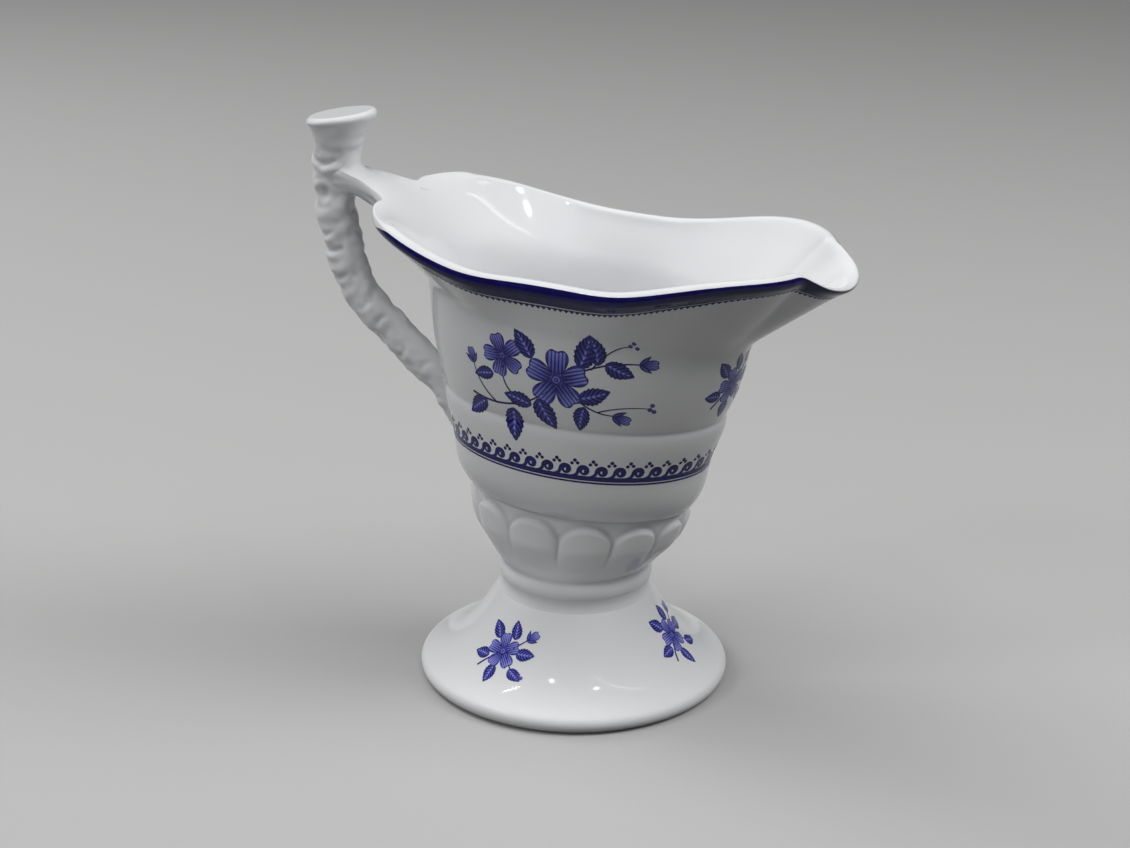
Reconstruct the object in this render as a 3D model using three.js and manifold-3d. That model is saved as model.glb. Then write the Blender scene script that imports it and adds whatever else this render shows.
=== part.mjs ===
// A helmet-shaped milk jug: an oval moulded bowl with a beak spout, set on a bell foot,
// with a branch handle joined to the rim's arm and to the back wall by fired slip.
// Millimetres, +Z up, +X towards the spout. The origin is under the middle of the whole jug.
import * as THREE from 'three';
import { mergeVertices } from 'three/addons/utils/BufferGeometryUtils.js';
import Module from 'manifold-3d';

const wasm = await Module();
wasm.setup();

// Bell foot
const footRadius = 35;
const footHeight = 21.8;
const footEdgeRadius = 1.9;
const footWall = 3.6;
const standingRingWidth = 3.2;
const standingRingDepth = 1.5;
const neckRadius = 16.4;
const bellNeckRun = 3.6;
const bellNeckDrop = 5.4;
const bellRimRun = 8.5;
const bellRimRise = 2.6;

// Slip seams between the castings
const slipThickness = 0.5;
const cutClearance = 0.3;
const upperSlipTo = 0.4;
const lowerSlipFrom = 0.6;

// Bowl heights above its seat
const collarHeight = 5.2;
const stepHeight = 21.8;
const grooveHeight = 43.8;
const rimSideHeight = 77.7;
const rimEndHeight = 83.4;
const floorHeight = 6;

// Depth of the flared brim below the rim
const brimFrontDepth = 22.2;
const brimBackDepth = 15.4;
const brimSideDepth = 12.7;

// Bowl half lengths, towards the spout and the handle, and half widths, to the sides
const collarBulge = 0.9;
const creaseRadius = 16.6;
const cupHalfLength = 24.3;
const cupHalfWidth = 17.6;
const stepLip = 1.3;
const bandHalfLength = 28.6;
const bandHalfWidth = 21.8;
const grooveHalfLength = 31.6;
const grooveHalfWidth = 22.6;
const wallHalfLength = 35.6;
const wallHalfWidth = 26;
const backSwell = 0.9;
const rimFront = 51.5;
const rimBack = 47.6;
const rimHalfWidth = 32.4;
const rimWaist = 2.2;
const rimSquareness = 3;
const rimRiseToFront = [0.05, 0.8];
const rimRiseToBack = [0.1, 0.95];
const brimFlare = 0.6;
const lipRadius = 1.9;
const bowlWall = 3.2;

// How the outline runs between those sizes: lengths, and shares of the height that a curve spans
const cupBelly = 0.55;
const cupTuck = 0.4;
const cupPulls = [0.2, 0.56];
const bandTuck = 0.6;
const bandPeak = 0.45;
const bandPulls = [0.1, 0.3, 0.62];
const grooveShoulder = 0.25;
const grooveDepth = 0.8;
const grooveStep = 0.5;
const grooveTurn = 0.06;
const grooveEase = 4;
const grooveSwell = 0.6;
const wallSwell = 0.75;
const wallPulls = [0.4, 0.7];
const lipUnderTurn = 0.4;
const floorCorner = 0.94;
const floorFlat = 0.55;
const floorPull = 0.3;
const rimWaistFrom = 0.75;

// Gadroons round the cup
const lobeCount = 12;
const lobeBulge = 1.45;
const lobeFullness = 0.6;
const lobeMargin = 1.6;
const lobeArch = 4.5;
const lobeBrow = 1.4;
const lobeFoot = 2.5;
const lobeFade = 6.5;
const lobeForward = THREE.MathUtils.degToRad(5);

// Beak spout at the front of the rim
const beakHalfWidth = 12.8;
const beakLength = 6.9;
const beakDroop = 4.7;
const beakRoundness = 1.5;

// Arm at the back of the rim, which carries the top of the handle
const armTipHalfWidth = 3.8;
const armRootHalfWidth = 7.9;
const armReach = 13.5;
const armRise = 3.2;
const armTopHalfWidth = 5;
const armFillHalfWidth = 12;
const armShoulder = 18.7;
const armShoulderCurve = 2.2;
const armTaper = 6;
const notchDepth = 1.4;
const notchDrop = 1.2;
const notchAt = 1.1;
const notchWidth = 0.28;
const notchRun = 3;
const armSidesAt = 0.66;
const armEndsAt = 1.15;

// How the bowl is set on the foot: forward of its centre, and leaning towards the spout
const bowlForward = 0.2;
const bowlLean = THREE.MathUtils.degToRad(2.2);

// Branch handle: its line behind the bowl, as distance back from the axis and height above the seat
const branchLine = [
  [60.4, 98.4],
  [61.6, 92.5],
  [61.8, 86],
  [61.6, 79],
  [59.8, 71.2],
  [56.9, 62.5],
  [52.6, 56.2],
  [46.4, 50.5],
  [40, 45.5],
  [34.6, 41],
  [30.8, 36.6],
  [28, 32],
  [25.6, 27.6],
];
const branchRadius = 4.85;
const branchRootRadius = 3.3;
const cutEndRadius = 8;
const cutEndFlare = 6;
const cutEndRounding = 0.9;
const cutEndSlant = THREE.MathUtils.degToRad(19);

// Bark swellings and knot holes: millimetres down the branch, turn round it, height, spread
const knots = [
  [8.5, -1.7, -0.4, 2.6],
  [12, 0.9, 0.5, 4],
  [17.5, -1.7, -0.7, 2.6],
  [22, -1.6, 0.5, 3.5],
  [24, 1.5, 0.6, 4],
  [32, -1.9, 0.5, 4],
  [34, 2.4, -0.5, 3],
  [42, 0.2, -0.5, 3.4],
  [46, -2.1, 0.6, 4],
  [52, -2.5, -0.5, 2.6],
  [57, 1.8, 0.5, 4],
  [64, -1.4, 0.4, 4],
];

// Facets
const bowlColumns = 96;
const cupRows = 11;
const footColumns = 56;
const branchSides = 18;
const branchRows = 43;
const endCrowding = 0.5;
const cutEndCrowding = 0.5;
const sharpestEdge = 0.4;

const porcelain = { color: 0xeef0f2, roughness: 0.12, metalness: 0 };
const firedSlip = { color: 0xe6e8ea, roughness: 0.3, metalness: 0 };

const point = (r, z) => new THREE.Vector2(r, z);

// The points of several curves that run on from each other, each with its number of steps
function trace(...runs) {
  return runs.flatMap(([curve, steps], k) => curve.getPoints(steps).slice(k === 0 ? 0 : 1));
}

// A closed indexed mesh: shared corners merged, and the slivers at the poles dropped
function weld(geometry) {
  geometry.deleteAttribute('normal');
  geometry.deleteAttribute('uv');
  const merged = mergeVertices(geometry, 1e-4);
  const corners = merged.index.array;
  const kept = [];
  for (let k = 0; k < corners.length; k += 3) {
    const [a, b, c] = [corners[k], corners[k + 1], corners[k + 2]];
    if (a !== b && b !== c && c !== a) kept.push(a, b, c);
  }
  merged.setIndex(kept);
  return merged;
}

function toSolid(geometry) {
  const vertProperties = new Float32Array(geometry.attributes.position.array);
  const triVerts = new Uint32Array(geometry.index.array);
  return new wasm.Manifold(new wasm.Mesh({ numProp: 3, vertProperties, triVerts }));
}

function toGeometry(solid) {
  const mesh = solid.getMesh();
  const geometry = new THREE.BufferGeometry();
  geometry.setAttribute('position', new THREE.BufferAttribute(mesh.vertProperties, mesh.numProp));
  geometry.setIndex(new THREE.BufferAttribute(mesh.triVerts, 1));
  return geometry;
}

function part(name, geometry, finish) {
  const mesh = new THREE.Mesh(geometry, new THREE.MeshStandardMaterial(finish));
  mesh.geometry.computeVertexNormals();
  mesh.name = name;
  return mesh;
}

// A profile turned about the upright axis
function turned(profile, columns) {
  const lathe = new THREE.LatheGeometry(profile, columns);
  lathe.rotateX(Math.PI / 2);
  return weld(lathe);
}

// Foot: a hollow bell whose neck is open at the top, standing on a flat ring
function pedestalFoot() {
  const edge = footRadius - footEdgeRadius;
  const ringInside = edge - standingRingWidth;
  const neckInside = neckRadius - footWall;
  const bell = new THREE.CubicBezierCurve(
    point(neckRadius, footHeight),
    point(neckRadius + bellNeckRun, footHeight - bellNeckDrop),
    point(edge - bellRimRun, 2 * footEdgeRadius + bellRimRise),
    point(edge, 2 * footEdgeRadius),
  );
  const roundEdge = new THREE.EllipseCurve(
    edge, footEdgeRadius, footEdgeRadius, footEdgeRadius, Math.PI / 2, -Math.PI / 2, true,
  );
  const ring = new THREE.LineCurve(point(edge, 0), point(ringInside, 0));
  const ringStep = new THREE.LineCurve(
    point(ringInside, 0),
    point(ringInside - footWall / 3, standingRingDepth),
  );
  const hollow = new THREE.CubicBezierCurve(
    point(ringInside - footWall / 3, standingRingDepth),
    point(edge - bellRimRun - footWall, standingRingDepth + bellRimRise),
    point(neckInside + bellNeckRun, footHeight - bellNeckDrop),
    point(neckInside, footHeight),
  );
  const seat = new THREE.LineCurve(point(neckInside, footHeight), point(neckRadius, footHeight));
  const profile = trace([bell, 8], [roundEdge, 5], [ring, 1], [ringStep, 1], [hollow, 6], [seat, 1]);
  return turned(profile.reverse(), footColumns);
}

// The washer of slip on the neck's flat top
function footSlip() {
  const inside = neckRadius - footWall;
  const profile = [
    point(inside, 0),
    point(neckRadius - cutClearance, 0),
    point(neckRadius - cutClearance, slipThickness),
    point(inside, slipThickness),
    point(inside, 0),
  ];
  return turned(profile, footColumns);
}

// The underside of the brim, or its inside: it rises evenly and flares out
function brimCurve(from, to, flare) {
  const bend = point((from.x + to.x) / 2 - flare, (from.y + to.y) / 2);
  return new THREE.QuadraticBezierCurve(from, bend, to);
}

// Outside of the bowl from the top of the step to the crest of the lip, in one upright plane
function upperOutline(half, rimHeight) {
  const lipCentre = point(half.rim - lipRadius, rimHeight - lipRadius);
  const underLip = -lipUnderTurn * Math.PI;
  const lipFoot = point(
    lipCentre.x + lipRadius * Math.cos(underLip),
    lipCentre.y + lipRadius * Math.sin(underLip),
  );
  const bandHeight = grooveHeight - stepHeight;
  const wallHeight = half.brim - grooveHeight;
  const turnHeight = grooveTurn * bandHeight;
  const shoulder = half.groove + grooveShoulder;
  const lowerBand = new THREE.CubicBezierCurve(
    point(half.cup + stepLip, stepHeight),
    point(half.band - bandTuck, stepHeight + bandPulls[0] * bandHeight),
    point(half.band, stepHeight + bandPulls[1] * bandHeight),
    point(half.band, stepHeight + bandPeak * bandHeight),
  );
  const upperBand = new THREE.CubicBezierCurve(
    point(half.band, stepHeight + bandPeak * bandHeight),
    point(half.band, stepHeight + bandPulls[2] * bandHeight),
    point(shoulder, grooveHeight - grooveEase * turnHeight),
    point(shoulder, grooveHeight - turnHeight),
  );
  const groove = new THREE.QuadraticBezierCurve(
    point(shoulder, grooveHeight - turnHeight),
    point(half.groove - grooveDepth, grooveHeight),
    point(half.groove + grooveStep, grooveHeight + turnHeight),
  );
  const wall = new THREE.CubicBezierCurve(
    point(half.groove + grooveStep, grooveHeight + turnHeight),
    point(
      THREE.MathUtils.lerp(half.groove, half.wall, wallSwell),
      grooveHeight + wallPulls[0] * wallHeight,
    ),
    point(half.wall, grooveHeight + wallPulls[1] * wallHeight),
    point(half.wall, half.brim),
  );
  const brim = brimCurve(point(half.wall, half.brim), lipFoot, half.flare);
  const lip = new THREE.EllipseCurve(
    lipCentre.x, lipCentre.y, lipRadius, lipRadius, underLip, Math.PI / 2, false,
  );
  return trace([lowerBand, 3], [upperBand, 3], [groove, 2], [wall, 3], [brim, 5], [lip, 3]);
}

// Whole outline of the bowl, from the middle of its seat, up the outside and down the inside
function bowlOutline(half, rimHeight) {
  const upper = upperOutline(half, rimHeight);
  const crest = upper[upper.length - 1];
  const seat = new THREE.LineCurve(point(0, 0), point(neckRadius, 0));
  const collar = new THREE.QuadraticBezierCurve(
    point(neckRadius, 0),
    point(neckRadius + 2 * collarBulge, collarHeight / 2),
    point(creaseRadius, collarHeight),
  );
  const cupHeight = stepHeight - collarHeight;
  const cup = new THREE.CubicBezierCurve(
    point(creaseRadius, collarHeight),
    point(
      THREE.MathUtils.lerp(creaseRadius, half.cup, cupBelly),
      collarHeight + cupPulls[0] * cupHeight,
    ),
    point(half.cup - cupTuck, collarHeight + cupPulls[1] * cupHeight),
    point(half.cup, stepHeight),
  );
  const lower = [...trace([seat, 1], [collar, 3]), ...cup.getSpacedPoints(cupRows).slice(1)];
  const lipInside = point(half.rim - 2 * lipRadius, rimHeight - lipRadius);
  const lipTurn = new THREE.QuadraticBezierCurve(crest, point(lipInside.x, rimHeight), lipInside);
  const brimFoot = point(half.wall - bowlWall, half.brim + lipRadius / 2);
  const brim = brimCurve(lipInside, brimFoot, half.flare);
  const wall = new THREE.QuadraticBezierCurve(
    brimFoot,
    point(half.wall - bowlWall, grooveHeight),
    point(half.cup - bowlWall, stepHeight),
  );
  const floor = new THREE.CubicBezierCurve(
    point(half.cup - bowlWall, stepHeight),
    point(
      floorCorner * (half.cup - bowlWall),
      THREE.MathUtils.lerp(floorHeight, stepHeight, floorPull),
    ),
    point(floorFlat * (half.cup - bowlWall), floorHeight),
    point(0, floorHeight),
  );
  return [...lower, ...upper, ...trace([lipTurn, 2], [brim, 4], [wall, 4], [floor, 5]).slice(1)];
}

const toFront = {
  cup: cupHalfLength,
  band: bandHalfLength,
  groove: grooveHalfLength,
  wall: wallHalfLength,
  rim: rimFront,
  brim: rimEndHeight - brimFrontDepth,
  flare: 0,
};
const toBack = {
  cup: cupHalfLength,
  band: bandHalfLength + backSwell,
  groove: grooveHalfLength + grooveSwell * backSwell,
  wall: wallHalfLength + backSwell,
  rim: rimBack,
  brim: rimEndHeight - brimBackDepth,
  flare: brimFlare,
};
const toSide = {
  cup: cupHalfWidth,
  band: bandHalfWidth,
  groove: grooveHalfWidth,
  wall: wallHalfWidth,
  rim: rimHalfWidth,
  brim: rimSideHeight - brimSideDepth,
  flare: brimFlare,
};

// The bowl leans from the collar up, so that the collar and its seat stay level
function lean(x, z) {
  const angle = bowlLean * THREE.MathUtils.smoothstep(z, collarHeight, stepHeight);
  return [x * Math.cos(angle) + z * Math.sin(angle), z * Math.cos(angle) - x * Math.sin(angle)];
}

// Height of a gadroon over the plain cup: round across, with an arched top, fading towards the collar
function gadroon(turn, height) {
  const lobeTurn = (2 * Math.PI) / lobeCount;
  const across = 2 * (turn / lobeTurn - Math.floor(turn / lobeTurn)) - 1;
  const crown = Math.sqrt(Math.max(0, 1 - across * across));
  const top = stepHeight - lobeMargin - lobeArch * (1 - crown);
  const arch = THREE.MathUtils.smoothstep(top - height, 0, lobeBrow);
  const foot = THREE.MathUtils.smoothstep(height - collarHeight - lobeFoot, 0, lobeFade);
  return lobeBulge * crown ** lobeFullness * arch * foot;
}

// The beak: how far the rim runs out, from 1 at its middle to 0 past its sides, rounder at the rim
function beakShare(turn, risen) {
  const across = turn / Math.atan2(beakHalfWidth, rimFront);
  return Math.max(0, 1 - across * across) ** (beakRoundness - risen);
}

// Across the arm, from 1 over the width of its tip to 0 at its roots
function acrossArm(turn, tipHalfWidth, rootHalfWidth) {
  const [tip, root] = [tipHalfWidth, rootHalfWidth].map((half) => Math.atan2(half, rimBack));
  return 1 - THREE.MathUtils.smoothstep(turn, tip, root);
}

// How far the lip turns square to the sides of the arm: 0 at its middle, 1 at its sides, 0 past its roots
function lipSkew(turn) {
  const root = Math.atan2(armRootHalfWidth, rimBack);
  const sides = armSidesAt * root;
  return Math.min(1, turn / sides) - THREE.MathUtils.smoothstep(turn, sides, armEndsAt * root);
}

// Height of the arm's top at a distance back from the axis: level, then down over its shoulder into the bowl
function armTop(radius, crest) {
  const share = THREE.MathUtils.clamp((radius - toBack.wall + bowlWall) / armShoulder, 0, 1);
  return THREE.MathUtils.lerp(toBack.brim, crest, 1 - (1 - share) ** armShoulderCurve);
}

// The notches of the rim at the roots of the arm
function notchShare(turn) {
  const root = Math.atan2(armRootHalfWidth, rimBack);
  return Math.exp(-(((turn - notchAt * root) / (notchWidth * root)) ** 2));
}

// One point of the oval bowl: the outlines to the front, back and side at one place along them,
// joined by a superellipse at one turn about the axis. The inside of the arm is filled up to its top
function bowlPoint(front, back, side, evenTurn, inside) {
  const end = Math.cos(evenTurn) > 0 ? front : back;
  if (end.x === 0) return [0, 0, end.y];
  const risen = THREE.MathUtils.clamp(1 - (rimSideHeight - side.y) / brimSideDepth, 0, 1);
  const shifted = evenTurn - lobeForward * (1 - risen) * Math.sin(evenTurn);
  const eased = shifted - 0.5 * endCrowding * risen * Math.sin(2 * shifted);
  let turn = Math.atan2(side.x * Math.sin(eased), end.x * Math.cos(eased));
  const [c, s] = [Math.abs(Math.cos(turn)), Math.abs(Math.sin(turn))];
  const square = 2 + (rimSquareness - 2) * risen;
  let radius = ((c / end.x) ** square + (s / side.x) ** square) ** (-1 / square);
  const [low, high] = end === front ? rimRiseToFront : rimRiseToBack;
  let height = THREE.MathUtils.lerp(side.y, end.y, THREE.MathUtils.smoothstep(c * c, low, high));
  radius -= rimWaist * risen * THREE.MathUtils.smoothstep(s * s, rimWaistFrom, 1);
  if (end === front) {
    const beak = beakShare(Math.asin(s), risen) * risen;
    radius += beakLength * beak;
    height -= beakDroop * beak;
  } else {
    const away = Math.asin(s);
    const drop = rimSideHeight - side.y;
    const kept = THREE.MathUtils.clamp((brimSideDepth - drop) / (brimSideDepth - 2 * lipRadius), 0, 1);
    const pull = inside ? kept : kept ** armTaper;
    const notch = notchShare(away);
    radius += armReach * acrossArm(away, armTipHalfWidth, armRootHalfWidth) * pull;
    radius -= notchDepth * notch * risen ** notchRun;
    const raised = armRise * acrossArm(away, armTopHalfWidth, armFillHalfWidth) - notchDrop * notch;
    height += raised * pull;
    if (inside && kept > 0) {
      const spread = 2 - risen;
      const top = acrossArm(away, spread * armTopHalfWidth, spread * armFillHalfWidth);
      height = THREE.MathUtils.lerp(height, armTop(radius, rimEndHeight + raised), top);
    }
    // Along the sides of the arm the lip lies square to the edge, so that it keeps its thickness
    const inset = THREE.MathUtils.clamp(rimBack - end.x, 0, 2 * lipRadius);
    const skew = Math.asin(lipSkew(away) * pull);
    turn += (Math.sign(Math.sin(turn)) * inset * Math.sin(skew)) / radius;
    radius += inset * (1 - Math.cos(skew));
  }
  if (!inside && height < stepHeight) radius += gadroon(evenTurn, height);
  return [radius * Math.cos(turn), radius * Math.sin(turn), height];
}

// The oval form over given outlines, whose rows past the crest of the lip are its inside
function ovalForm(front, back, side, crestRow) {
  const grid = new THREE.LatheGeometry(front, bowlColumns);
  const rows = front.length;
  for (let column = 0; column <= bowlColumns; column++) {
    const turn = (2 * Math.PI * (column % bowlColumns)) / bowlColumns;
    for (let row = 0; row < rows; row++) {
      const [x, y, z] = bowlPoint(front[row], back[row], side[row], turn, row > crestRow);
      const [leanX, leanZ] = lean(x, z);
      grid.attributes.position.setXYZ(column * rows + row, leanX, y, leanZ);
    }
  }
  return weld(grid);
}

function bowl() {
  const front = bowlOutline(toFront, rimEndHeight);
  const crestRow = front.reduce((best, p, row) => (p.y > front[best].y ? row : best), 0);
  return ovalForm(front, bowlOutline(toBack, rimEndHeight), bowlOutline(toSide, rimSideHeight), crestRow);
}

// Moves every face of a closed form out by one distance: each corner goes along its normal, further
// where its faces meet at a sharp edge
function grow(geometry, distance) {
  geometry.computeVertexNormals();
  const { position, normal } = geometry.attributes;
  const corners = geometry.index.array;
  const flatness = new Array(position.count).fill(1);
  const [a, b, c] = [0, 1, 2].map(() => new THREE.Vector3());
  const cornerNormal = new THREE.Vector3();
  const faceNormal = new THREE.Vector3();
  for (let k = 0; k < corners.length; k += 3) {
    [a, b, c].forEach((corner, n) => corner.fromBufferAttribute(position, corners[k + n]));
    THREE.Triangle.getNormal(a, b, c, faceNormal);
    for (let n = 0; n < 3; n++) {
      cornerNormal.fromBufferAttribute(normal, corners[k + n]);
      flatness[corners[k + n]] = Math.min(flatness[corners[k + n]], faceNormal.dot(cornerNormal));
    }
  }
  for (let k = 0; k < position.count; k++) {
    a.fromBufferAttribute(position, k);
    cornerNormal.fromBufferAttribute(normal, k);
    a.addScaledVector(cornerNormal, distance / Math.max(sharpestEdge, flatness[k]));
    position.setXYZ(k, a.x, a.y, a.z);
  }
  return geometry;
}

// The filled form of the bowl above its step, grown all over by a clearance, to cut the handle to
function bowlCutter(growth) {
  const filled = (half, rimHeight) => {
    const upper = upperOutline(half, rimHeight);
    return [point(0, stepHeight), ...upper, point(0, upper[upper.length - 1].y)];
  };
  const [front, back] = [filled(toFront, rimEndHeight), filled(toBack, rimEndHeight)];
  return toSolid(grow(ovalForm(front, back, filled(toSide, rimSideHeight), front.length), growth));
}

const branchCurve = new THREE.CatmullRomCurve3(
  branchLine.map(([back, height]) => {
    const [x, z] = lean(-back, height);
    return new THREE.Vector3(x, 0, z);
  }),
);

// Radius of the branch at a distance down it and a turn round it: a taper, the flare of the cut end,
// its rounded edge, and the knots
function barkRadius(down, turn, length) {
  const taper = THREE.MathUtils.lerp(branchRadius, branchRootRadius, down / length);
  const flare = (cutEndRadius - branchRadius) * Math.exp(-down / cutEndFlare);
  const rounding = cutEndRounding * Math.max(0, 1 - down / cutEndRounding) ** 2;
  let radius = taper + flare - rounding;
  for (const [along, around, rise, spread] of knots) {
    const apart = Math.atan2(Math.sin(turn - around), Math.cos(turn - around)) * taper;
    radius += rise * Math.exp(-((down - along) ** 2 + apart ** 2) / spread ** 2);
  }
  return radius;
}

// The branch between two shares of its line: a cylinder bent along it
function branch(from, to) {
  const length = branchCurve.getLength();
  const rows = Math.ceil(branchRows * (to - from));
  const tube = new THREE.CylinderGeometry(1, 1, 1, branchSides, rows);
  const { position } = tube.attributes;
  for (let k = 0; k < position.count; k++) {
    const share = 0.5 - position.getY(k);
    const crowded = from === 0 ? share * THREE.MathUtils.lerp(cutEndCrowding, 1, share) : share;
    const along = from + (to - from) * crowded;
    const turn = Math.atan2(position.getX(k), position.getZ(k));
    const out = Math.hypot(position.getX(k), position.getZ(k)) * barkRadius(along * length, turn, length);
    const centre = branchCurve.getPointAt(along);
    const tangent = branchCurve.getTangentAt(along);
    const forward = out * Math.cos(turn);
    const slanted = forward * Math.tan(cutEndSlant) * Math.exp(-(((along * length) / cutEndFlare) ** 2));
    position.setXYZ(
      k,
      centre.x - tangent.z * forward - tangent.x * slanted,
      out * Math.sin(turn),
      centre.z + tangent.x * forward - tangent.z * slanted,
    );
  }
  return toSolid(weld(tube));
}

const seatGap = cutClearance + slipThickness + cutClearance;
const branchHandle = branch(0, 1).subtract(bowlCutter(seatGap));
const slipShell = bowlCutter(cutClearance + slipThickness).subtract(bowlCutter(cutClearance));
const upperSlip = branch(0, upperSlipTo).intersect(slipShell);
const lowerSlip = branch(lowerSlipFrom, 1).intersect(slipShell);

const jug = new THREE.Group();
jug.add(part('pedestal_foot', pedestalFoot(), porcelain));

const slipWasher = part('foot_luting_slip', footSlip(), firedSlip);
slipWasher.position.set(bowlForward, 0, footHeight);
jug.add(slipWasher);

const onFoot = new THREE.Group();
onFoot.position.set(bowlForward, 0, footHeight + slipThickness);
onFoot.add(part('bowl', bowl(), porcelain));
onFoot.add(part('branch_handle', toGeometry(branchHandle), porcelain));
onFoot.add(part('handle_upper_luting_slip', toGeometry(upperSlip), firedSlip));
onFoot.add(part('handle_lower_luting_slip', toGeometry(lowerSlip), firedSlip));
jug.add(onFoot);

// The origin goes under the middle of the jug's length
const box = new THREE.Box3().setFromObject(jug);
jug.position.x = -(box.min.x + box.max.x) / 2;

export default jug;
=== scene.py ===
# %% [markdown]
# A helmet-shaped milk jug in white glazed porcelain: an oval bowl with a beak spout, a bell foot and a
# handle shaped as a branch, with a cobalt blue print under the glaze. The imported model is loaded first,
# and it is the ruler for everything that follows: each piece is made where the model says, in metres.

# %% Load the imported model
import math

import bpy
import numpy as np
from mathutils import Matrix, Vector, noise
from mathutils.bvhtree import BVHTree


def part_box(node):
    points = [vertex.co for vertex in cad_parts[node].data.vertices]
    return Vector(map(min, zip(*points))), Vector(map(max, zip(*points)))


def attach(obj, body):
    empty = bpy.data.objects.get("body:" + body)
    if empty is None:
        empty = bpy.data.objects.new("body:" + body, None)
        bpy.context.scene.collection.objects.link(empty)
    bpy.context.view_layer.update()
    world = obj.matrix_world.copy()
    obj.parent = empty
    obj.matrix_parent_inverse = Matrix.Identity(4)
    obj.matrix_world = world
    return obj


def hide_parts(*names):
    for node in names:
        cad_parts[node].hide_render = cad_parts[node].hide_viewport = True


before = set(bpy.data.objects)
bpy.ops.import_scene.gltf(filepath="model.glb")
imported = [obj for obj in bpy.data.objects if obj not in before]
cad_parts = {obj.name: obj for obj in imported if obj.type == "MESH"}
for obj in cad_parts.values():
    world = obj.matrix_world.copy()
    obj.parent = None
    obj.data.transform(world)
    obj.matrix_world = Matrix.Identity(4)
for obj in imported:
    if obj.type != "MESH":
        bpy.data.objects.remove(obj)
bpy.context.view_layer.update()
MM = 0.001


def deselect():
    bpy.ops.object.select_all(action="DESELECT")


def pick(piece):
    deselect()
    piece.select_set(True)
    bpy.context.view_layer.objects.active = piece


deselect()
print("nodes:", sorted(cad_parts))

# %% [markdown]
# The camera comes next, so that every later step can be looked at from the photograph's own angle. Its
# place was solved from the outline of the round foot, so it is given from the middle of the foot. The
# turns are stacked as on a tripod: the pan, then the tilt, then a small roll of the hand.

# %% Camera
foot_low, foot_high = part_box("pedestal_foot")
axis_x = (foot_low.x + foot_high.x) / 2
camera_from_foot = Vector((0.16691, -0.44249, 0.23932))
pan, tilt, roll = math.radians(21.0), math.radians(20.92), math.radians(0.84)
photo_width, focal_pixels, sensor_width = 1130, 2300, 36
camera_turn = Matrix.Rotation(pan, 3, "Z") @ Matrix.Rotation(math.pi / 2 - tilt, 3, "X")
camera_turn = camera_turn @ Matrix.Rotation(roll, 3, "Z")
bpy.ops.object.camera_add(
    location=Vector((axis_x, 0, 0)) + camera_from_foot, rotation=camera_turn.to_euler()
)
camera = bpy.context.object
camera.name = "photo_camera"
camera.data.sensor_fit = "HORIZONTAL"
camera.data.sensor_width = sensor_width
camera.data.lens = focal_pixels / photo_width * sensor_width
bpy.context.scene.camera = camera
print("lens:", round(camera.data.lens, 2), "mm")

# %% [markdown]
# A glossy glaze shows whatever stands round it, so the studio is part of the look. Wide soft lamps
# overhead and at the sides light the foot and the inside of the bowl, and leave the wall under the brim in
# soft shade. Their own reflections would lie on the glaze as large white panes, so they are hidden from
# glossy rays: two slim strips and two small lamps draw bright lines and points instead.

# %% Lamps
scene = bpy.context.scene
scene.view_settings.view_transform = "Standard"
scene.world = bpy.data.worlds.new("studio")
scene.world.use_nodes = True
backdrop = scene.world.node_tree.nodes["Background"]
backdrop.inputs["Color"].default_value = (0.92, 0.91, 0.885, 1)
backdrop.inputs["Strength"].default_value = 0.1


def soft_panel(name, place, aim, size, watts):
    deselect()
    bpy.ops.object.light_add(type="AREA", location=place)
    lamp = bpy.context.object
    lamp.name = name
    lamp.data.shape = "RECTANGLE"
    lamp.data.size, lamp.data.size_y = size
    lamp.data.energy = watts
    lamp.rotation_euler = (Vector(aim) - Vector(place)).to_track_quat("-Z", "Y").to_euler()
    return lamp


middle = (0, 0, 0.07)
for lamp in (
    soft_panel("overhead", (0.0, -0.08, 0.95), middle, (1.3, 0.6), 4.9),
    soft_panel("left_wing", (-0.8, 0.2, 0.6), middle, (0.4, 0.5), 2.8),
    soft_panel("right_wing", (0.75, 0.2, 0.75), middle, (0.4, 0.5), 4.2),
    soft_panel("left_key", (-0.7, -0.65, 0.7), middle, (0.2, 0.2), 1.8),
    soft_panel("front_fill", (-0.15, -1.0, 0.4), middle, (0.9, 0.4), 1.7),
):
    lamp.visible_glossy = False
soft_panel("right_strip", (0.54, -0.03, 1.02), middle, (0.9, 0.01), 0.25)
soft_panel("left_strip", (-0.5, -0.15, 0.98), middle, (0.3, 0.012), 0.3)
soft_panel("front_spark", (-0.09, -0.53, 0.98), middle, (0.04, 0.04), 0.25)
soft_panel("right_spark", (0.36, -0.22, 1.03), middle, (0.04, 0.04), 0.2)

# %% [markdown]
# The floor is plain and pale. A pale floor throws much light up under the brim, so only rays that are seen,
# mirrored or let through meet the pale grey, and rays that just carry light on meet a darker one. Nodes
# could be made and linked line by line, but every finish needs many, so a few helpers do it: a node is
# added with its settings and inputs in one call, and an input is given a value or another node's output.

# %% Floor
floor_gap, floor_size = 0.05 * MM, 8
seen_grey, unseen_grey = (0.5, 0.5, 0.5, 1), (0.05, 0.05, 0.05, 1)


def new_finish(name):
    finish = bpy.data.materials.new(name)
    finish.use_nodes = True
    return finish


def feed(finish, socket, value):
    """Gives a socket a value, or links another node's output to it."""
    if isinstance(value, bpy.types.NodeSocket):
        finish.node_tree.links.new(value, socket)
    else:
        socket.default_value = value


def add_node(finish, kind, inputs, **settings):
    """A new node, set and fed. Gives its outputs."""
    made = finish.node_tree.nodes.new("ShaderNode" + kind)
    for name, choice in settings.items():
        setattr(made, name, choice)
    for name, value in inputs.items():
        feed(finish, made.inputs[name], value)
    return made.outputs


def mix_colours(finish, factor, first, second):
    inputs = {"Factor": factor, "A": first, "B": second}
    return add_node(finish, "Mix", inputs, data_type="RGBA")["Result"]


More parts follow.
